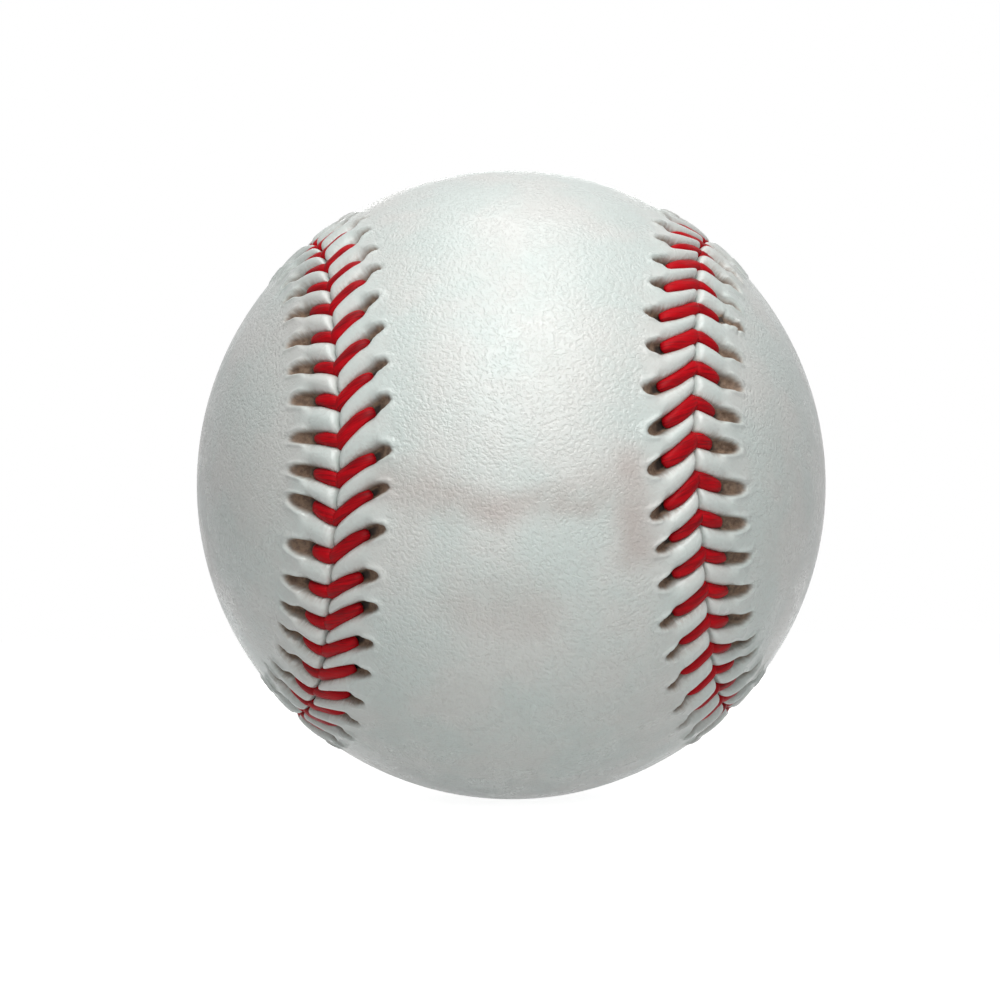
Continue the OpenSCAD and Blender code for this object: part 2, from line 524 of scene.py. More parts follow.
def turned(points: Array, side: Side) -> Array:
    """Moves points built for the near panel to their own panel: for the side one, mirrored and turned."""
    if side is Side.FRONT:
        return points
    return np.stack([-points[:, 2], -points[:, 1], points[:, 0]], 1)


@dataclass
class LeatherPanel:
    """One figure-eight cover panel, a closed solid with its ribs, channels and holes."""

    seam: SeamCurve
    relief: Relief
    side: Side
    thickness: float = 1.25
    columns: int = 18
    coarse_columns: int = 3
    crowding: float = 0.4
    edge_end: float = 0.66
    edge_rows: int = 6
    rib_row_step: float = 0.22
    hole_lead: float = 0.5
    hole_rows_end: float = 5.7
    rib_and_hole_rows: int = 29
    fading_rows: int = 3
    inner_reach: float = 12.0
    coarse_step: float = 0.95
    more_flesh_rows: int = 4
    across: int = 36

    def phases(self, skip: int = 1) -> Array:
        """Phases of a ring from a lobe's tip on, crowded at the ribs' steep flanks; skip thins them."""
        share = np.arange(0, self.seam.stitches * self.columns, skip) / self.columns
        whole = np.floor(share)
        part = share - whole
        part = part + self.crowding * np.sin(2 * TAU * part) / (2 * TAU)
        return whole + part - self.seam.stitches / 4

    def rows(self) -> Array:
        """Reaches of the fine rings, closest together at the seam's edge and at the holes."""
        hole = self.relief.row.habit.thread_end - self.hole_lead
        rib_rows = round((hole - self.edge_end) / self.rib_row_step)
        return np.concatenate([
            np.linspace(self.relief.edge, self.edge_end, self.edge_rows, endpoint=False),
            np.linspace(self.edge_end, hole, rib_rows, endpoint=False),
            np.linspace(hole, self.hole_rows_end, self.rib_and_hole_rows - rib_rows, endpoint=False),
            np.linspace(self.hole_rows_end, self.relief.rib_end.high, self.fading_rows),
        ])

    def ring(self, parts: MeshParts, phase: Array, v: float, under: bool) -> Array:
        """Adds one ring of points.

        Args:
            parts: The piece being built.
            phase: The ring's phases.
            v: Its reach from the seam.
            under: True on the flesh side, False on the grain side.

        Returns:
            The indices of the ring's points.
        """
        reach = np.full(len(phase), v)
        s = self.relief.row.along(phase, reach)
        rise = np.full(len(phase), -self.thickness) if under else self.relief.height(phase, reach)
        places = self.seam.place(s, reach) * (self.seam.ball_r + rise)[:, None]
        share = np.clip(self.relief.flank(phase, reach), -1, 2)
        mask = 0.0 if under else self.relief.bare(phase, reach)
        return parts.add(turned(places, self.side), np.stack([s, reach, share], 1), mask)

    def cap(self, parts: MeshParts, ring: Array, radius: float, outward: bool) -> None:
        """Closes the middle of the panel with rungs from its right edge to its left edge.

        Args:
            parts: The piece being built.
            ring: The innermost ring, which starts at the tip of a lobe.
            radius: Distance of the surface from the ball's centre.
            outward: True if the faces look away from the centre.
        """
        phase = self.phases(self.columns // self.coarse_columns)
        reach = np.full(len(phase), self.inner_reach)
        edge = self.seam.place(self.relief.row.along(phase, reach), reach)
        count = len(ring)
        last = count // 2
        share = np.linspace(0, 1, self.across + 1)[1:-1, None]
        rungs = [np.full(self.across + 1, ring[0])]
        for i in range(1, last):
            start, stop = edge[i], edge[count - i]
            angle = math.acos(float(np.clip(start @ stop, -1, 1)))
            places = (np.sin((1 - share) * angle) * start + np.sin(share * angle) * stop) / math.sin(angle)
            coords = np.tile([phase[i] * self.seam.pitch, self.inner_reach, 2.0], (len(places), 1))
            inner = parts.add(turned(places * radius, self.side), coords)
            rungs.append(np.concatenate([[ring[i]], inner, [ring[count - i]]]))
        rungs.append(np.full(self.across + 1, ring[last]))
        low, high = np.stack(rungs[:-1]), np.stack(rungs[1:])
        quads = np.stack([low[:, :-1], high[:, :-1], high[:, 1:], low[:, 1:]], -1)
        parts.fill(quads[0, :, :3], outward)
        parts.fill(np.concatenate(quads[1:-1]), outward)
        parts.fill(quads[-1][:, [0, 1, 3]], outward)

    def build(self) -> Piece:
        """Builds the panel in its own place on the ball."""
        parts = MeshParts()
        fine = self.phases()
        coarse = self.phases(self.columns // self.coarse_columns)
        start = self.relief.rib_end.high + self.coarse_step
        steps = round((self.inner_reach - start) / self.coarse_step) + 1
        rings = [self.ring(parts, fine, v, False) for v in self.rows()]
        wide = [self.ring(parts, coarse, v, False) for v in np.linspace(start, self.inner_reach, steps)]
        parts.bridge(rings[-1], wide[0], True)
        self.cap(parts, wide[-1], self.seam.ball_r, True)
        wall = self.ring(parts, fine, self.relief.edge, True)
        flesh_reaches = np.linspace(self.relief.edge + self.coarse_step, self.inner_reach,
                                    steps + self.more_flesh_rows)
        flesh = [self.ring(parts, coarse, v, True) for v in flesh_reaches]
        parts.bridge(wall, flesh[0], False)
        self.cap(parts, flesh[-1], self.seam.ball_r - self.thickness, False)
        for rows in ([wall, *rings], wide, flesh[::-1]):
            parts.bands(rows)
        name = f"{self.side.value}_leather_panel"
        return parts.object(name, Layer.SEAM, self.side is Side.SIDE, Layer.BARE)


@dataclass
class SeamThread:
    """One panel's row of thread legs, each out of the seam, over the leather and into its hole."""

    seam: SeamCurve
    row: StitchRow
    side: Side
    half_h: float = 0.5
    climb: float = 0.75
    level: float = -0.56
    dive: float = 1.25
    end_drop: float = 1.0
    end_taper: float = 0.2
    start_taper: float = 0.1
    start_taper_end: float = 0.6
    ply_depth: float = 0.04
    ply_turns: float = 0.8
    ply_ridges: int = 4
    rings: int = 28
    sides: int = 22

    def rise(self, v: Array, end: float) -> Array:
        """Height of the thread's middle over the plain surface, down to its end deep in the hole."""
        up = swell((v - self.row.habit.start) / self.climb, 2.0)
        down = 1 - swell((end - v) / self.dive, 2.0)
        return self.level - self.row.habit.start_drop * (1 - up) - (self.end_drop + self.level) * down

    def leg(self, parts: MeshParts, k: int) -> None:
        """Adds one leg.

        Args:
            parts: The piece being built.
            k: The stitch's number.
        """
        habit = self.row.habit
        quirk = {kind: float(values[k]) for kind, values in self.row.hands.drawn.items()}
        end = habit.thread_end + quirk[Quirk.REACH]
        ease = 0.5 - 0.5 * np.cos(np.linspace(0, math.pi, self.rings))
        v = habit.start + (end - habit.start) * ease
        out = self.seam.place(self.row.along(np.full(len(v), float(k)), v), v)
        lift = self.rise(v, end) + quirk[Quirk.HEIGHT] * Span(0, 1).rise(v)
        centre = out * (self.seam.ball_r + lift)[:, None]
        wide = unit(np.cross(np.gradient(out, axis=0), out))
        deep = np.cross(wide, unit(np.gradient(centre, axis=0)))
        around = np.arange(self.sides) / self.sides * TAU - TAU / 4
        length = np.concatenate([[0], np.cumsum(np.linalg.norm(np.diff(centre, axis=0), axis=1))])
        lay = length[:, None] / length[-1] * self.ply_turns * TAU + k
        ply = 1 + self.ply_depth * np.cos(self.ply_ridges * around - lay)
        taper = (1 - self.end_taper * Span(end - self.dive, end).rise(v)
                 - self.start_taper * Span(habit.start, self.start_taper_end).fall(v))
        half_w = habit.thread_half * (1 + quirk[Quirk.WIDTH]) * taper[:, None] * ply
        skin = (centre[:, None] + (half_w * np.cos(around))[..., None] * wide[:, None]
                + (self.half_h * ply * np.sin(around))[..., None] * deep[:, None])
        coords = np.stack(np.broadcast_arrays(around * habit.thread_half, length[:, None], float(k)), -1)
        loops = [parts.add(turned(skin[i], self.side), coords[i]) for i in range(self.rings)]
        tips = [parts.add(turned(centre[i][None], self.side), coords[i, :1]) for i in (0, -1)]
        parts.bands(loops)
        for loop, tip in ((loops[0][::-1], tips[0]), (loops[-1], tips[1])):
            parts.fill(np.stack([loop, np.roll(loop, -1), np.repeat(tip, self.sides)], 1))

    def build(self) -> Piece:
        """Builds the row, with all its legs as one object."""
        parts = MeshParts()
        for k in range(self.seam.stitches):
            self.leg(parts, k)
        return parts.object(f"{self.side.value}_seam_thread", Layer.LAY, self.side is Side.SIDE)


class Sheet:
    """Short calls that build one node tree."""

    def __init__(self, tree: Group) -> None:
        """Takes an empty tree."""
        self.tree = tree

    def node(self, kind: str, settings: dict | None = None, **inputs: object) -> Node:
        """Adds a node.

        Args:
            kind: The node's type, without its ShaderNode prefix.
            settings: The node's own properties.
            **inputs: Sockets by name, with _ for a space: a socket to link from, or a value to set.

        Returns:
            The node.
        """
        made = self.tree.nodes.new("ShaderNode" + kind)
        for name, value in (settings or {}).items():
            setattr(made, name, value)
        for name, value in inputs.items():
            self.feed(made.inputs[name.replace("_", " ")], value)
        return made

    def use(self, group: Group, **inputs: object) -> Outputs:
        """Places a node group with its own inputs, and gives its outputs."""
        return self.node("Group", {"node_tree": group}, **inputs).outputs

    def attribute(self, layer: Layer) -> Outputs:
        """Outputs that read an attribute of the mesh."""
        return self.node("Attribute", {"attribute_name": layer.value}).outputs

    def feed(self, socket: Socket, value: object) -> None:
        """Links a socket to another, or sets its value."""
        if isinstance(value, Socket):
            self.tree.links.new(value, socket)
        else:
            socket.default_value = value

    def math(self, operation: str, *values: object) -> Socket:
        """Result of a Math node on one, two or three values or sockets."""
        made = self.node("Math", {"operation": operation})
        for socket, value in zip(made.inputs, values):
            self.feed(socket, value)
        return made.outputs[0]

    def times(self, first: object, second: object) -> Socket:
        """Product of two values."""
        return self.math("MULTIPLY", first, second)

    def between(self, share: object, first: Socket, second: Socket) -> Socket:
        """A value between two others."""
        return self.math("MULTIPLY_ADD", self.math("SUBTRACT", second, first), share, first)

    def vector(self, operation: str, *values: object, output: str = "Vector") -> Socket:
        """Result of a Vector Math node; output is Value where the result is a number."""
        made = self.node("VectorMath", {"operation": operation})
        for socket, value in zip(made.inputs, values):
            self.feed(socket, value)
        return made.outputs[output]

    def scaled(self, place: object, by: object) -> Socket:
        """A vector times a number."""
        return self.node("VectorMath", {"operation": "SCALE"}, Vector=place, Scale=by).outputs["Vector"]

    def rotated(self, place: Socket, turn: Triple) -> Socket:
        """A vector turned by three angles in radians."""
        made = self.node("VectorRotate", {"rotation_type": "EULER_XYZ"}, Vector=place, Rotation=turn)
        return made.outputs[0]

    def noise(self, place: Socket, scale: float, detail: float = 2.0, roughness: float = 0.5) -> Socket:
        """Noise from 0 to 1 at a place."""
        made = self.node("TexNoise", None, Vector=place, Scale=scale, Detail=detail, Roughness=roughness)
        return made.outputs[0]

    def ramp(self, value: object, low: object, high: object, to_low: float = 0.0,
             to_high: float = 1.0) -> Socket:
        """A smooth step between two values."""
        made = self.node("MapRange", {"interpolation_type": "SMOOTHSTEP"}, Value=value, From_Min=low,
                         From_Max=high, To_Min=to_low, To_Max=to_high)
        return made.outputs[0]

    def mix(self, share: object, first: object, second: object) -> Socket:
        """A colour between two others."""
        made = self.node("Mix", {"data_type": "RGBA"})
        for index, value in ((0, share), (6, first), (7, second)):
            self.feed(made.inputs[index], value)
        return made.outputs[2]

    def shader_mix(self, share: Socket, first: Node, second: Node) -> Node:
        """A shader between two others."""
        made = self.node("MixShader", None, Fac=share)
        self.feed(made.inputs[1], first.outputs[0])
        self.feed(made.inputs[2], second.outputs[0])
        return made

    def bump(self, height: Socket, depth_mm: float, strength: float = 1.0) -> Socket:
        """A normal from a height of 0 to 1 that stands for a depth in millimetres."""
        return self.node("Bump", None, Height=height, Distance=depth_mm * MM, Strength=strength).outputs[0]


class Effect(Sheet):
    """The node tree of a shader group that several finishes share."""

    def __init__(self, name: str, inputs: dict[str, float | None], outputs: tuple[str, ...]) -> None:
        """Starts the group.

        Args:
            name: The group's name.
            inputs: Its inputs with their defaults; None makes a vector input.
            outputs: The names of its value outputs.
        """
        super().__init__(bpy.data.node_groups.new(name, "ShaderNodeTree"))
        for label, value in inputs.items():
            kind = "NodeSocketVector" if value is None else "NodeSocketFloat"
            socket = self.tree.interface.new_socket(label, in_out="INPUT", socket_type=kind)
            if value is not None:
                socket.default_value = value
        for label in outputs:
            self.tree.interface.new_socket(label, in_out="OUTPUT", socket_type="NodeSocketFloat")
        self.given = self.tree.nodes.new("NodeGroupInput").outputs
        self.sink = self.tree.nodes.new("NodeGroupOutput").inputs

    def place_in(self, size: str) -> Socket:
        """The given place, measured in units of a given size."""
        return self.scaled(self.given["Place"], self.math("DIVIDE", 1.0, self.given[size]))

    def done(self, **values: Socket) -> Group:
        """Feeds the outputs by name and hands the group over."""
        for name, value in values.items():
            self.feed(self.sink[name], value)
        return self.tree


def soft_mottle() -> Group:
    """Soft clouds: Size is a cloud's width in millimetres, Cover how much they cover."""
    sheet = Effect("Soft mottle", {"Place": None, "Size": 10.0, "Cover": 0.5}, ("Mask",))
    low = sheet.math("SUBTRACT", 0.85, sheet.given["Cover"])
    cloud = sheet.noise(sheet.place_in("Size"), 1.0, 3.0, 0.55)
    return sheet.done(Mask=sheet.ramp(cloud, low, sheet.math("ADD", low, 0.3)))


def pebble_grain() -> Group:
    """Grain of fine wrinkles that lie together and turn from patch to patch, Cell millimetres wide."""
    sheet = Effect("Pebble grain", {"Place": None, "Cell": 0.3, "Stretch": 0.7}, ("Height", "Creases"))
    place = sheet.place_in("Cell")
    squeeze = sheet.node("CombineXYZ", None, X=1.0, Y=1.0, Z=sheet.given["Stretch"]).outputs[0]
    lays = [sheet.vector("MULTIPLY", sheet.rotated(place, turn), squeeze)
            for turn in ((0.9, 0.3, 0.2), (1.9, -0.7, 0.4))]
    first, second = (sheet.noise(lay, 1.0, 1.5, 0.55) for lay in lays)
    patch = sheet.ramp(sheet.noise(place, 0.05, 1.0), 0.4, 0.6)
    worm = sheet.ramp(sheet.between(patch, first, second), 0.34, 0.58)
    fine = sheet.noise(place, 2.4, 2.0, 0.6)
    return sheet.done(Height=sheet.math("MULTIPLY_ADD", worm, 0.75, sheet.times(fine, 0.25)),
                      Creases=sheet.math("SUBTRACT", 1.0, worm))


def fine_fibres() -> Group:
    """Strands that lie side by side: Lay.x runs across them and Lay.y along them, in millimetres."""
    sheet = Effect("Fibres", {"Lay": None, "Width": 0.2, "Slant": 0.6}, ("Height", "Tone"))
    parts = sheet.node("SeparateXYZ", None, Vector=sheet.given["Lay"]).outputs
    slid = sheet.math("MULTIPLY_ADD", parts["Y"], sheet.given["Slant"], parts["X"])
    across = sheet.math("DIVIDE", slid, sheet.given["Width"])
    along = sheet.times(parts["Y"], 0.5)
    place = sheet.node("CombineXYZ", None, X=across, Y=along, Z=parts["Z"]).outputs[0]
    strand = sheet.noise(place, 1.0, 2.0, 0.6)
    broad = sheet.noise(place, 0.28, 1.0)
    return sheet.done(Height=strand, Tone=sheet.math("MULTIPLY_ADD", strand, 0.5, sheet.times(broad, 0.5)))


def pressed_granules() -> Group:
    """Pressed granules, Size millimetres across, each with a tone of its own."""
    sheet = Effect("Granules", {"Place": None, "Size": 1.5}, ("Tone", "Height"))
    place = sheet.place_in("Size")
    cells = sheet.node("TexVoronoi", {"feature": "F1"}, Vector=place, Scale=1.0).outputs
    tone = sheet.node("SeparateColor", None, Color=cells["Color"]).outputs[0]
    return sheet.done(Tone=tone, Height=sheet.ramp(cells["Distance"], 0.7, 0.2))


@dataclass
class Effects:
    """The shared groups, each built once."""

    mottle: Group = field(default_factory=soft_mottle)
    pebble: Group = field(default_factory=pebble_grain)
    fibres: Group = field(default_factory=fine_fibres)
    granules: Group = field(default_factory=pressed_granules)


def emptied(owner: Material | bpy.types.World) -> Group:
    """The node tree of a material or a world, with nothing in it."""
    owner.use_nodes = True
    owner.node_tree.nodes.clear()
    return owner.node_tree


class Coat(Sheet):
    """The node tree of one material, with the place on its piece in millimetres."""

    def __init__(self, name: str, effects: Effects | None = None) -> None:
        """Starts the material, with the shared groups that it may use."""
        self.material = bpy.data.materials.new(name)
        super().__init__(emptied(self.material))
        self.effects = effects
        self.place = self.scaled(self.node("TexCoord").outputs["Object"], 1 / MM)

    def mottle(self, size: float, cover: float) -> Socket:
        """Soft clouds of a width in millimetres; cover is how much they cover."""
        return self.use(self.effects.mottle, Place=self.place, Size=size, Cover=cover)["Mask"]


class Finish:
    """A finish of the ball. Its surface method gives the Principled shader's sockets by name."""

    name: str

    def material(self, effects: Effects) -> Material:
        """Builds the finish's material from the shared groups."""
        sheet = Coat(self.name, effects)
        shader = sheet.node("BsdfPrincipled", None, **self.surface(sheet))
        sheet.node("OutputMaterial", None, Surface=shader.outputs[0])
        return sheet.material

    def surface(self, sheet: Coat) -> dict[str, object]:
        """What the shader's sockets get."""
        raise NotImplementedError


@dataclass(frozen=True)
class DarkStreak:
    """A soft darker streak between two directions from the ball's centre; some are painted shade."""

    start: Triple
    stop: Triple
    radius: float
    strength: float

    def mask(self, sheet: Sheet, place: Socket, ball_r: float) -> Socket:
        """How much the streak darkens a place.

        Args:
            sheet: The material's sheet.
            place: The place on the piece in millimetres.
            ball_r: The ball's radius.

        Returns:
            The strength on the streak's middle line, falling to 0 at its radius.
        """
        start = Vector(self.start).normalized() * ball_r
        run = Vector(self.stop).normalized() * ball_r - start
        ahead = sheet.vector("SUBTRACT", place, tuple(start))
        along = sheet.vector("DOT_PRODUCT", ahead, tuple(run / run.length_squared), output="Value")
        share = sheet.math("MINIMUM", sheet.math("MAXIMUM", along, 0.0), 1.0)
        away = sheet.vector("DISTANCE", ahead, sheet.scaled(tuple(run), share), output="Value")
        return sheet.ramp(away, self.radius, 0.0, 0.0, self.strength)


@dataclass(frozen=True)
class CoverLeather(Finish):
    """Off-white leather with a fine wrinkled grain, light handling marks, and painted shade by the seam,
    in the holes and along the highlight's lower edge. Reaches are from the seam.
    """

    ball_r: float
    name: str = "cover leather"
    clean: Colour = srgb(203, 212, 208)
    warm: Colour = srgb(210, 212, 208)
    # Darker tone of the marks and creases; along the highlight's lower edge it is painted shade.
    handled_and_shade: Colour = srgb(172, 154, 148)
    # Brown suede tone of the holes' worn slopes, also used for dirt with painted shade low on the ribs'
    # flanks.
    rubbed_and_shade: Colour = srgb(146, 120, 98)
    # The darker suede tone colours the holes' worn slopes, and is also painted shade at the foot of the
    # ribs.
    rubbed_dark_and_shade: Colour = srgb(92, 68, 50)
    # Near-black colour painted deep in the holes as shade.
    hole_shade: Colour = srgb(44, 32, 25)
    roughness: tuple[float, float] = (0.25, 0.34)
    bare_roughness: float = 0.55
    specular: float = 0.6
    cell: float = 0.32
    grain_depth: float = 0.055
    grain_strength: float = 0.95
    seam_grain: float = 0.3
    grain_reach: tuple[float, float] = (4.8, 6.6)
    pull_reach: tuple[float, float] = (5.8, 4.6)
    pull_stretch: Triple = (1.2, 3.0, 0.0)
    pull_warp: float = 1.6
    # Share by which the grain's creases are darkened.
    crease_darkening: float = 0.08
    # Share of dirt with painted shade low on the ribs' flanks.
    strand_soil_and_shade: float = 0.5
    # Share of painted shade at the foot of the ribs, beside the thread.
    foot_shade: float = 0.6
    slope_soil: float = 0.9
    spread_soil: float = 0.14
    streak_drift: float = 4.0
    streak_broken: float = 0.35
    # The first four streaks make a chain along the lower edge of the highlight, painted shade that
    # sharpens that edge; the fifth runs down from its right-hand end and the sixth lies lower.
    dark_streaks: tuple[DarkStreak, ...] = (
        DarkStreak((-0.317, -0.943, -0.09), (-0.173, -0.971, -0.164), 3.4, 0.42),
        DarkStreak((-0.173, -0.971, -0.164), (-0.006, -0.981, -0.193), 2.5, 0.52),
        DarkStreak((-0.006, -0.981, -0.193), (0.16, -0.972, -0.172), 2.5, 0.5),
        DarkStreak((0.16, -0.972, -0.172), (0.25, -0.965, -0.1), 3.0, 0.36),
        DarkStreak((0.265, -0.96, -0.09), (0.295, -0.918, -0.28), 3.6, 0.55),
        DarkStreak((-0.121, -0.91, -0.397), (0.03, -0.909, -0.418), 5.0, 0.3),
    )

    def marks(self, sheet: Coat) -> Socket:
        """How far the leather is darkened by the streaks, partly painted shade, and by broad soiled
        clouds, from 0 to 1.
        """
        drift = sheet.node("TexNoise", None, Vector=sheet.place, Scale=0.16, Detail=2.0).outputs["Color"]
        shift = sheet.scaled(sheet.vector("SUBTRACT", drift, (0.5, 0.5, 0.5)), self.streak_drift)
        smeared = sheet.vector("ADD", sheet.place, shift)
        total: object = 0.0
        # Each streak darkens its own band; the first chain is painted shade.
        for dark_streak in self.dark_streaks:
            total = sheet.math("MAXIMUM", total, dark_streak.mask(sheet, smeared, self.ball_r))
        broken = sheet.mottle(3.2, 0.6)
        kept = sheet.math("MULTIPLY_ADD", broken, self.streak_broken, 1 - self.streak_broken)
        spread = sheet.times(sheet.mottle(16.0, 0.3), self.spread_soil)
        return sheet.math("MAXIMUM", sheet.times(total, kept), spread)

    def colour(self, sheet: Coat, masks: dict[str, Socket]) -> Socket:
        """The leather's colour, with its darker marks, dirt and painted shade low on the ribs' flanks,
        painted shade at their foot and deep in the holes, and the holes' worn slopes.

        Args:
            sheet: The material's sheet.
            masks: The grain's creases, the strands' height, the ribs' flank and foot, and the holes' worn
                cut leather with painted shade deep in them.

        Returns:
            The colour.
        """
        # Dirt along the strands, strongest low on the ribs' flanks by the channel, where it is also
        # painted shade.
        soil_and_shade = sheet.times(sheet.ramp(masks["strands"], 0.62, 0.4), masks["flank"])
        suede = sheet.ramp(sheet.noise(sheet.place, 1.6, 3.0, 0.6), 0.3, 0.7)
        slope = sheet.ramp(masks["bare"], 0.0, 0.5)
        colour = sheet.mix(sheet.mottle(9.0, 0.5), self.clean, self.warm)
        for share, over in (
            # Darker marks, where the chain along the highlight's lower edge is painted shade.
            (self.marks(sheet), self.handled_and_shade),
            # Darker in the grain's creases.
            (sheet.times(masks["creases"], self.crease_darkening), self.handled_and_shade),
            # Dirt with painted shade low on the ribs' flanks.
            (sheet.times(soil_and_shade, self.strand_soil_and_shade), self.rubbed_and_shade),
            # Painted shade at the foot of the ribs, beside the thread.
            (sheet.times(masks["foot"], self.foot_shade), self.rubbed_dark_and_shade),
            (sheet.times(slope, self.slope_soil), sheet.mix(suede, self.rubbed_dark_and_shade, self.rubbed_and_shade)),
            # Painted shade deep in the holes.
            (sheet.ramp(masks["bare"], 0.5, 0.95), self.hole_shade),
        ):
            colour = sheet.mix(share, colour, over)
        return colour

    def strands(self, sheet: Coat, seam: Socket) -> Socket:
        """Fine strands and folds across the ribs, where the thread pulls the leather down."""
        warp = sheet.node("TexNoise", None, Vector=seam, Scale=0.5, Detail=1.0).outputs["Color"]
        bent = sheet.vector("ADD", seam, sheet.scaled(warp, self.pull_warp))
        return sheet.noise(sheet.vector("MULTIPLY", bent, self.pull_stretch), 1.0, 3.0, 0.6)

    def surface(self, sheet: Coat) -> dict[str, object]:
        """The leather's shader."""
        seam = sheet.attribute(Layer.SEAM)["Vector"]
        parts = sheet.node("SeparateXYZ", None, Vector=seam).outputs
        grain = sheet.use(sheet.effects.pebble, Place=sheet.place, Cell=self.cell)
        pulled = sheet.ramp(parts["Y"], *self.pull_reach)
        patches = sheet.ramp(sheet.noise(sheet.place, 0.12, 1.0), 0.4, 0.6, 0.35, 1.0)
        masks = {
            "creases": grain["Creases"],
            "strands": self.strands(sheet, seam),
            # Low on the ribs' flanks by the channel: dirt with painted shade in the colour, folds in the
            # bump.
            "flank": sheet.times(sheet.times(pulled, patches), sheet.ramp(parts["Z"], 0.7, 0.0)),
            # Foot of the ribs beside the thread, where shade is painted.
            "foot": sheet.times(pulled, sheet.ramp(parts["Z"], 0.3, -0.05)),
            # Worn cut leather in the holes, with painted shade deep in them.
            "bare": sheet.attribute(Layer.BARE)["Fac"],
        }
        polish = sheet.ramp(sheet.noise(sheet.place, 0.25), 0.35, 0.65, *self.roughness)
        slope = sheet.ramp(masks["bare"], 0.0, 0.5)
        pebbles = sheet.times(grain["Height"], sheet.ramp(parts["Y"], *self.grain_reach, self.seam_grain))
        folds = sheet.times(masks["strands"], sheet.math("ADD", masks["flank"], 0.2))
        height = sheet.math("ADD", pebbles, folds)
        return dict(Base_Color=self.colour(sheet, masks),
                    Roughness=sheet.math("MULTIPLY_ADD", slope, self.bare_roughness, polish),
                    Normal=sheet.bump(height, self.grain_depth, self.grain_strength),
                    Specular_IOR_Level=self.specular)


@dataclass(frozen=True)
class WaxedThread(Finish):
    """Red two-ply cotton thread, waxed."""

    name: str = "red waxed thread"
    lit: Colour = srgb(186, 4, 20)
    deep: Colour = srgb(112, 2, 12)
    roughness: tuple[float, float] = (0.42, 0.62)
    specular: float = 0.14
    strand_w: float = 0.15

    def surface(self, sheet: Coat) -> dict[str, object]:
        """The thread's shader, with fibres that lie along it."""
        lay = sheet.attribute(Layer.LAY)["Vector"]
        fibres = sheet.use(sheet.effects.fibres, Lay=lay, Width=self.strand_w, Slant=0.3)
        colour = sheet.mix(sheet.ramp(fibres["Tone"], 0.3, 0.6), self.deep, self.lit)
        worn = sheet.times(sheet.mottle(3.0, 0.45), 0.25)
        return dict(Base_Color=sheet.mix(worn, colour, self.deep),
                    Roughness=sheet.ramp(fibres["Tone"], 0.3, 0.7, *self.roughness),
                    Normal=sheet.bump(fibres["Height"], 0.06, 0.8),
                    Specular_IOR_Level=self.specular)


@dataclass(frozen=True)
class Granular(Finish):
    """A pressed or moulded mass of granules, such as cork or rubber."""

    name: str
    light: Colour
    dark: Colour
    grain: float
    roughness: float
    depth: float

    def surface(self, sheet: Coat) -> dict[str, object]:
        """The mass's shader, a tone for each granule."""
        granules = sheet.use(sheet.effects.granules, Place=sheet.place, Size=self.grain)
        cloud = sheet.times(sheet.mottle(self.grain * 5, 0.5), 0.3)
        tone = sheet.math("MULTIPLY_ADD", granules["Tone"], 0.7, cloud)
        low, high = self.roughness - 0.08, self.roughness + 0.08
        return dict(Base_Color=sheet.mix(tone, self.dark, self.light),
                    Roughness=sheet.ramp(tone, 0.0, 1.0, low, high),
                    Normal=sheet.bump(granules["Height"], self.depth))


@dataclass(frozen=True)
class WoundYarn(Finish):
    """A ball of yarn wound in great circles that cross, with fuzz on the strands."""

    name: str
    light: Colour
    dark: Colour
    strand_w: float
    roughness: float = 0.9
    lays: tuple[Triple, ...] = ((0.0, 0.35, 0.2), (1.1, 0.2, 1.3), (2.2, -0.4, 2.4))

    def surface(self, sheet: Coat) -> dict[str, object]:
        """The yarn's shader, with patches of strands that lie three ways."""
        first, second, third = (
            sheet.use(sheet.effects.fibres, Lay=sheet.rotated(sheet.place, lay), Width=self.strand_w,
                      Slant=0.0)["Height"] for lay in self.lays)
        patch = sheet.noise(sheet.place, 0.12, 1.0)
        height = sheet.between(sheet.ramp(patch, 0.46, 0.5), first, second)
        height = sheet.between(sheet.ramp(patch, 0.54, 0.58), height, third)
        return dict(Base_Color=sheet.mix(sheet.ramp(height, 0.35, 0.65), self.dark, self.light),
                    Roughness=self.roughness, Normal=sheet.bump(height, self.strand_w * 0.4))


@dataclass(frozen=True)
class BrushedCement(Finish):
    """Dry latex cement, brushed over the last winding."""

    name: str = "brushed cement"
    thick: Colour = srgb(206, 186, 148)
    thin: Colour = srgb(226, 216, 194)
    roughness: tuple[float, float] = (0.35, 0.6)

    def surface(self, sheet: Coat) -> dict[str, object]:
        """The cement's shader, with the brush's marks."""
        brush = sheet.use(sheet.effects.fibres, Lay=sheet.place, Width=0.5, Slant=0.3)
        return dict(Base_Color=sheet.mix(sheet.mottle(6.0, 0.5), self.thick, self.thin),
                    Roughness=sheet.ramp(brush["Tone"], 0.3, 0.7, *self.roughness),
                    Normal=sheet.bump(brush["Height"], 0.06))


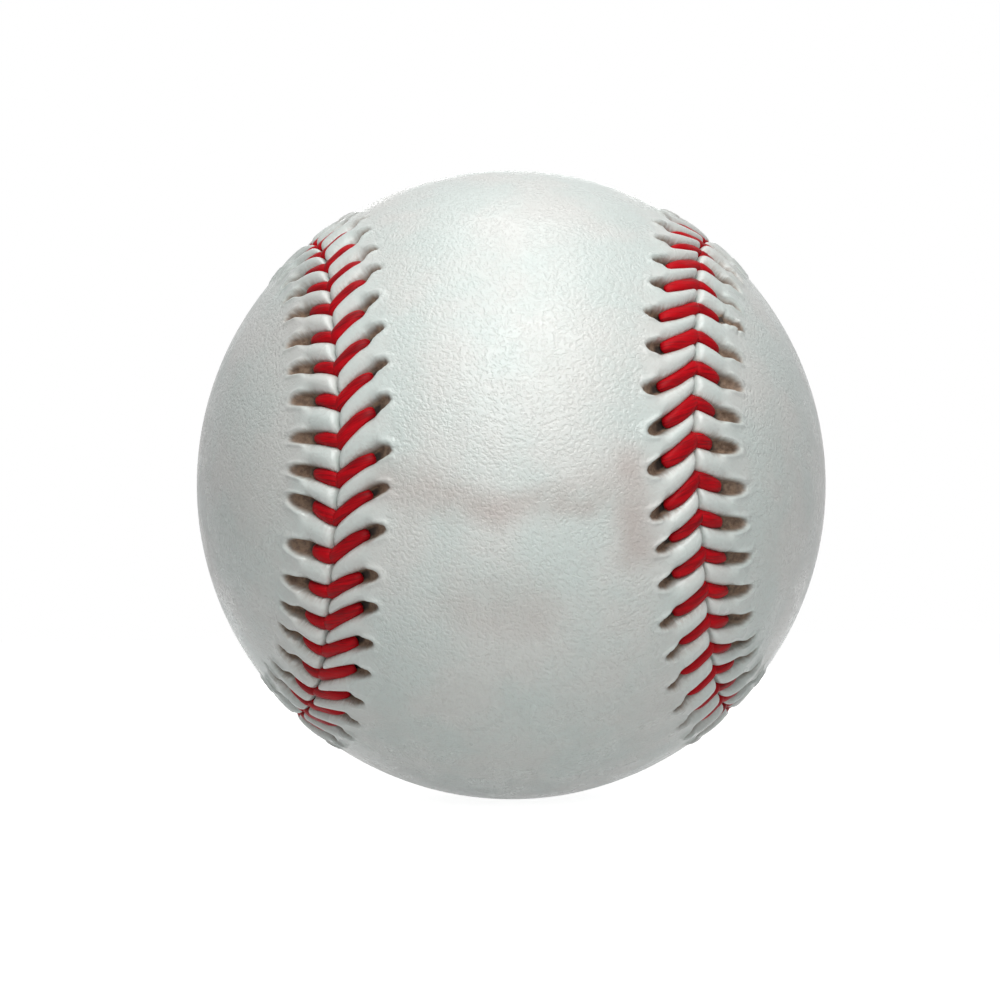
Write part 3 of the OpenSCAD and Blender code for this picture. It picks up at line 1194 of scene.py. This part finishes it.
CORE_FINISHES = {
    Granular("cork and rubber", srgb(196, 158, 112), srgb(92, 62, 38), grain=1.4, roughness=0.8,
             depth=0.15): ("cork_core",),
    Granular("black rubber", srgb(52, 52, 54), srgb(28, 28, 30), grain=0.5, roughness=0.5,
             depth=0.03): ("upper_inner_shell", "lower_inner_shell"),
    Granular("gasket rubber", srgb(186, 60, 52), srgb(150, 42, 38), grain=0.4, roughness=0.62,
             depth=0.02): ("shell_gasket",),
    Granular("red rubber", srgb(188, 72, 60), srgb(156, 52, 44), grain=0.6, roughness=0.55,
             depth=0.03): ("red_rubber_layer",),
    WoundYarn("grey wool yarn", srgb(168, 166, 162), srgb(92, 90, 88), strand_w=1.1):
        ("grey_wool_winding", "outer_wool_winding"),
    WoundYarn("white wool yarn", srgb(236, 232, 222), srgb(176, 170, 158), strand_w=1.0):
        ("white_wool_winding",),
    WoundYarn("finishing yarn", srgb(240, 238, 230), srgb(196, 190, 176), strand_w=0.45, roughness=0.8):
        ("finishing_winding",),
    BrushedCement(): ("cement_coat",),
}


def paint(piece: Piece, material: Material) -> None:
    """Puts a material in every slot of a piece, or in its first if it has none."""
    if not piece.material_slots:
        piece.data.materials.append(material)
    for slot in piece.material_slots:
        slot.material = material
    LOG.info("%s: %s, %d faces", piece.name, material.name, len(piece.data.polygons))


def dress_core(effects: Effects) -> None:
    """Gives the layers under the leather their finish; their CAD solids keep their shape."""
    for finish, nodes in CORE_FINISHES.items():
        material = finish.material(effects)
        for node in nodes:
            paint(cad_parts[node], material)


@dataclass
class Cover:
    """The two leather panels and the thread that joins them."""

    seam: SeamCurve

    def panel(self, side: Side) -> Piece:
        """Builds a panel and puts it in its CAD solid's place."""
        piece = LeatherPanel(self.seam, Relief(StitchRow(self.seam, HABITS[side])), side).build()
        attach(piece, "root")
        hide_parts(f"{side.value}_cover_panel")
        return piece

    def thread(self, side: Side) -> Piece:
        """Builds a panel's legs and puts them in their CAD solids' place."""
        piece = SeamThread(self.seam, StitchRow(self.seam, HABITS[side]), side).build()
        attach(piece, "root")
        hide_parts(f"{side.value}_panel_stitches")
        return piece

    def dress(self, effects: Effects) -> None:
        """Builds and finishes all four pieces."""
        leather = CoverLeather(self.seam.ball_r).material(effects)
        thread = WaxedThread().material(effects)
        for side in Side:
            paint(self.panel(side), leather)
            paint(self.thread(side), thread)


@dataclass(frozen=True)
class Lamp:
    """A soft panel of light that faces the ball. Angles are degrees, sizes metres, power watts."""

    name: str
    azimuth: float
    elevation: float
    distance: float
    width: float
    height: float
    power: float

    def place(self) -> Vector:
        """Where the lamp hangs: azimuth 0 is in front of the ball, and 90 to its right."""
        around, up = math.radians(self.azimuth), math.radians(self.elevation)
        toward = Vector((math.sin(around) * math.cos(up), -math.cos(around) * math.cos(up), math.sin(up)))
        return toward * self.distance

    def build(self) -> None:
        """Hangs the lamp."""
        data = bpy.data.lights.new(self.name, "AREA")
        data.shape = "RECTANGLE"
        data.size = self.width
        data.size_y = self.height
        data.energy = self.power
        lamp = link(self.name, data)
        lamp.location = self.place()
        lamp.rotation_euler = (-self.place()).to_track_quat("-Z", "Y").to_euler()
        lamp.visible_camera = False


@dataclass
class Studio:
    """Camera at the photograph's viewpoint, plain soft light and a pale floor.

    floor_glow is the floor's own brightness at the two distances of floor_fade, in millimetres.
    """

    ball_r: float
    lens_mm: float = 38.8
    sensor_mm: float = 36.0
    clip_start: float = 0.005
    distance_radii: float = 3.57
    view_turn_deg: Triple = (-6.70, -0.63, 0.62)
    off_axis: tuple[float, float] = (0.0096, 0.013)
    lamps: tuple[Lamp, ...] = (
        Lamp("top", 0, 86, 0.2, 0.1, 0.06, 0.04),
        Lamp("softbox", 2, 54, 0.2, 0.13, 0.16, 0.148),
        Lamp("key", 2, 22, 0.13, 0.08, 0.1, 0.087),
        Lamp("low front", 2, -38, 0.13, 0.05, 0.05, 0.04),
        Lamp("back", 180, 20, 0.3, 0.2, 0.2, 0.45),
    )
    white: Colour = (1.0, 1.0, 1.0, 1.0)
    sky: float = 0.02
    floor_w: float = 4.0
    floor_tone: Colour = srgb(225, 226, 226)
    floor_glow: tuple[float, float] = (0.9, 1.0)
    floor_fade: tuple[float, float] = (50.0, 240.0)

    def camera(self) -> None:
        """Places the camera that was fitted to the seam and the outline in the photograph."""
        turn = Vector(math.radians(angle) for angle in self.view_turn_deg)
        back = Matrix.Rotation(turn.length, 3, turn.normalized()).transposed()
        distance = self.distance_radii * self.ball_r * MM
        centre = Vector((self.off_axis[0] * distance, distance, self.off_axis[1] * distance))
        right, ahead, up = (back @ Vector(axis) for axis in ((1, 0, 0), (0, 1, 0), (0, 0, 1)))
        data = bpy.data.cameras.new("camera")
        data.lens = self.lens_mm
        data.sensor_width = self.sensor_mm
        data.clip_start = self.clip_start
        matrix = Matrix((right, up, -ahead)).transposed().to_4x4()
        matrix.translation = back @ -centre
        camera = link("camera", data)
        camera.matrix_world = matrix
        bpy.context.scene.camera = camera

    @staticmethod
    def seen(sheet: Sheet) -> Socket:
        """1 for a ray that shows the surroundings: from the camera, a reflection or glass."""
        path = sheet.node("LightPath").outputs
        shown = sheet.math("MAXIMUM", path["Is Camera Ray"], path["Is Glossy Ray"])
        return sheet.math("MAXIMUM", shown, path["Is Transmission Ray"])

    def world(self) -> None:
        """White where the camera or a reflection sees it, and a dim even light on everything else."""
        world = bpy.data.worlds.new("studio")
        sheet = Sheet(emptied(world))
        dim, plain = (sheet.node("Background", None, Color=self.white, Strength=power)
                      for power in (self.sky, 1.0))
        both = sheet.shader_mix(self.seen(sheet), dim, plain)
        sheet.node("OutputWorld", None, Surface=both.outputs[0])
        bpy.context.scene.world = world

    def floor(self) -> None:
        """Lays a pale floor that keeps the ball's shadow and doesn't hide the ball from below."""
        half = self.floor_w / 2
        height = cad_box[0][2]
        corners = [(x, y, height) for x, y in ((-half, -half), (half, -half), (half, half), (-half, half))]
        mesh = bpy.data.meshes.new("floor")
        mesh.from_pydata(corners, [], [(0, 1, 2, 3)])
        floor = link("floor", mesh)
        sheet = Coat("floor")
        matt = sheet.node("BsdfDiffuse", None, Color=self.floor_tone)
        away = sheet.vector("LENGTH", sheet.place, output="Value")
        strength = sheet.ramp(away, *self.floor_fade, *self.floor_glow)
        glow = sheet.node("Emission", None, Color=self.white, Strength=strength)
        lit = sheet.node("AddShader")
        sheet.feed(lit.inputs[0], matt.outputs[0])
        sheet.feed(lit.inputs[1], glow.outputs[0])
        shown = sheet.shader_mix(self.seen(sheet), matt, lit)
        behind = sheet.node("NewGeometry").outputs["Backfacing"]
        both = sheet.shader_mix(behind, shown, sheet.node("BsdfTransparent"))
        sheet.node("OutputMaterial", None, Surface=both.outputs[0])
        mesh.materials.append(sheet.material)

    def build(self) -> None:
        """Sets up the camera, the light and the floor."""
        self.camera()
        for lamp in self.lamps:
            lamp.build()
        self.world()
        self.floor()
        bpy.context.scene.view_settings.view_transform = "Standard"


def main() -> None:
    """Builds the ball from the inside out, then the studio."""
    logging.basicConfig(level=logging.INFO, format="%(name)s: %(message)s")
    ball_r = float(cad_box[1][2] - cad_box[0][2]) / 2 / MM
    seam = SeamCurve(ball_r)
    LOG.info("ball radius %.3f mm, seam %.1f mm, pitch %.3f mm", ball_r, seam.length, seam.pitch)
    effects = Effects()
    dress_core(effects)
    Cover(seam).dress(effects)
    Studio(ball_r).build()


if __name__ == "__main__":
    main()
